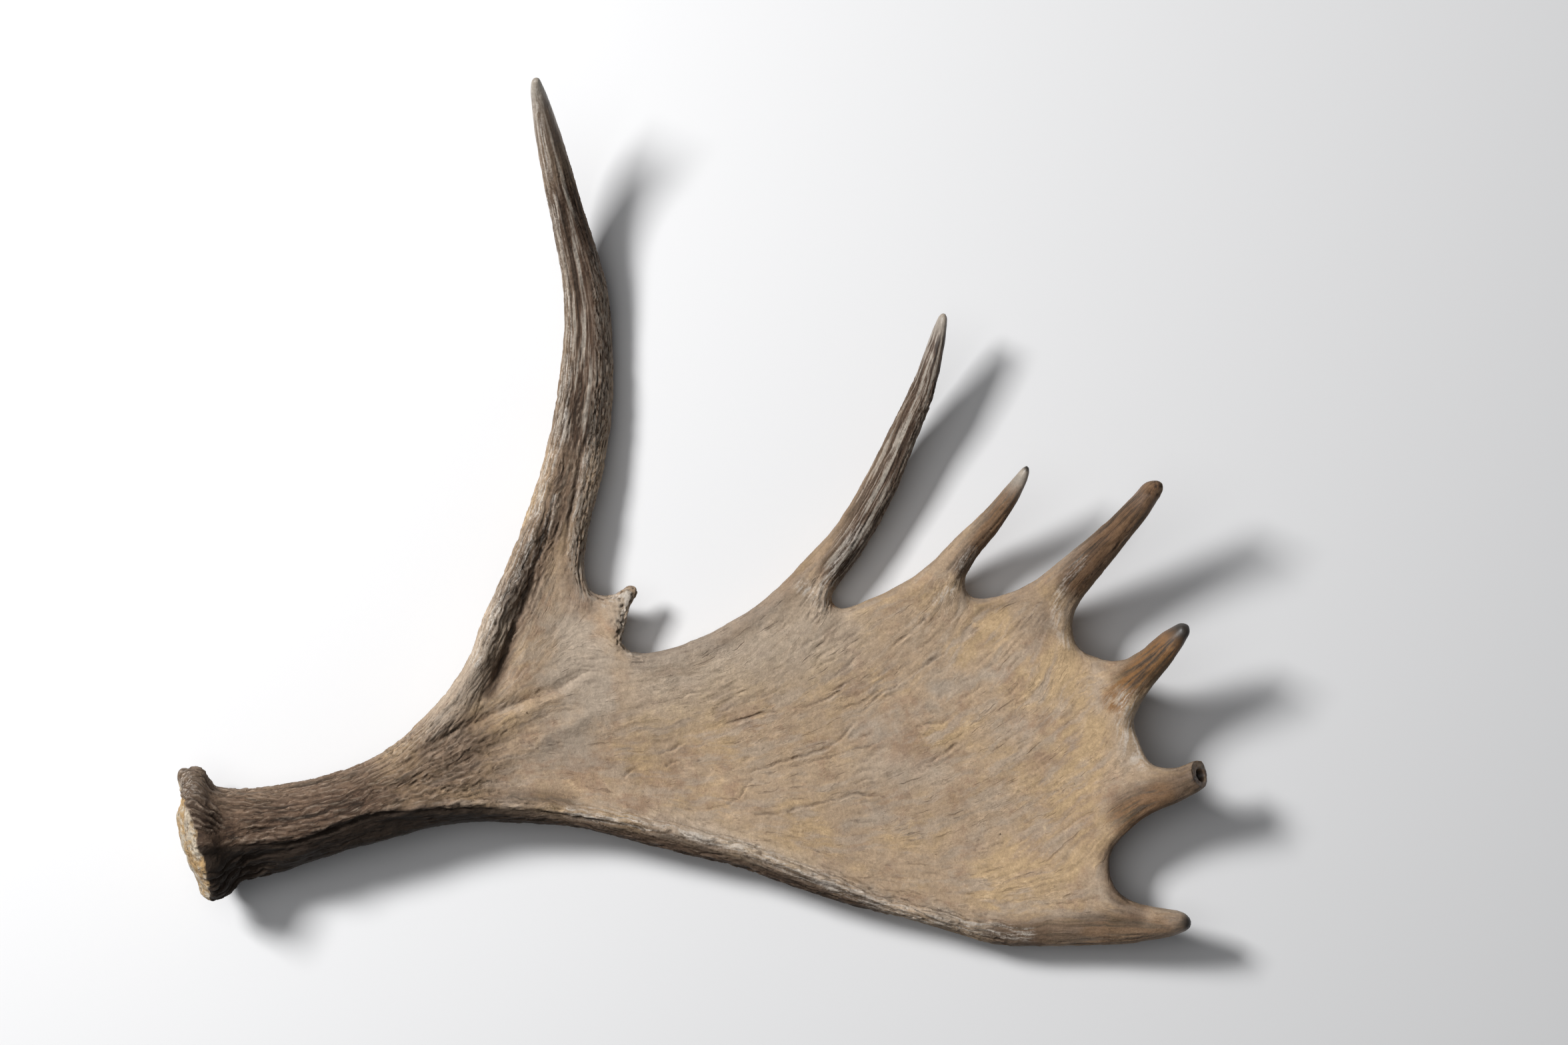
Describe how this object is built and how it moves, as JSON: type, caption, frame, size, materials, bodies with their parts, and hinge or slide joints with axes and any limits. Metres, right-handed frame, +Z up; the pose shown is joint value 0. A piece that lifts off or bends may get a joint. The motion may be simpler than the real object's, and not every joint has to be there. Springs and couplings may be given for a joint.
{
  "type": "moose antler",
  "caption": "Shed moose antler lying on its back: burr and round beam, long brow tine with a snag, and a broad cupped palm edged with points.",
  "frame": {"origin": "bottom centre of the antler's box, on the surface it lies on", "axes": "+X along the beam from the burr towards the palm, +Y towards the brow tine's tip, +Z up, out of the palm's hollow face"},
  "size_m": [0.693, 0.5798, 0.1152],
  "materials": {
    "beam": null,
    "brow_tine": null,
    "palm": null
  },
  "bodies": {
    "root": {"beam": "beam", "brow_tine": "brow_tine", "palm": "palm"}
  },
  "joints": []
}
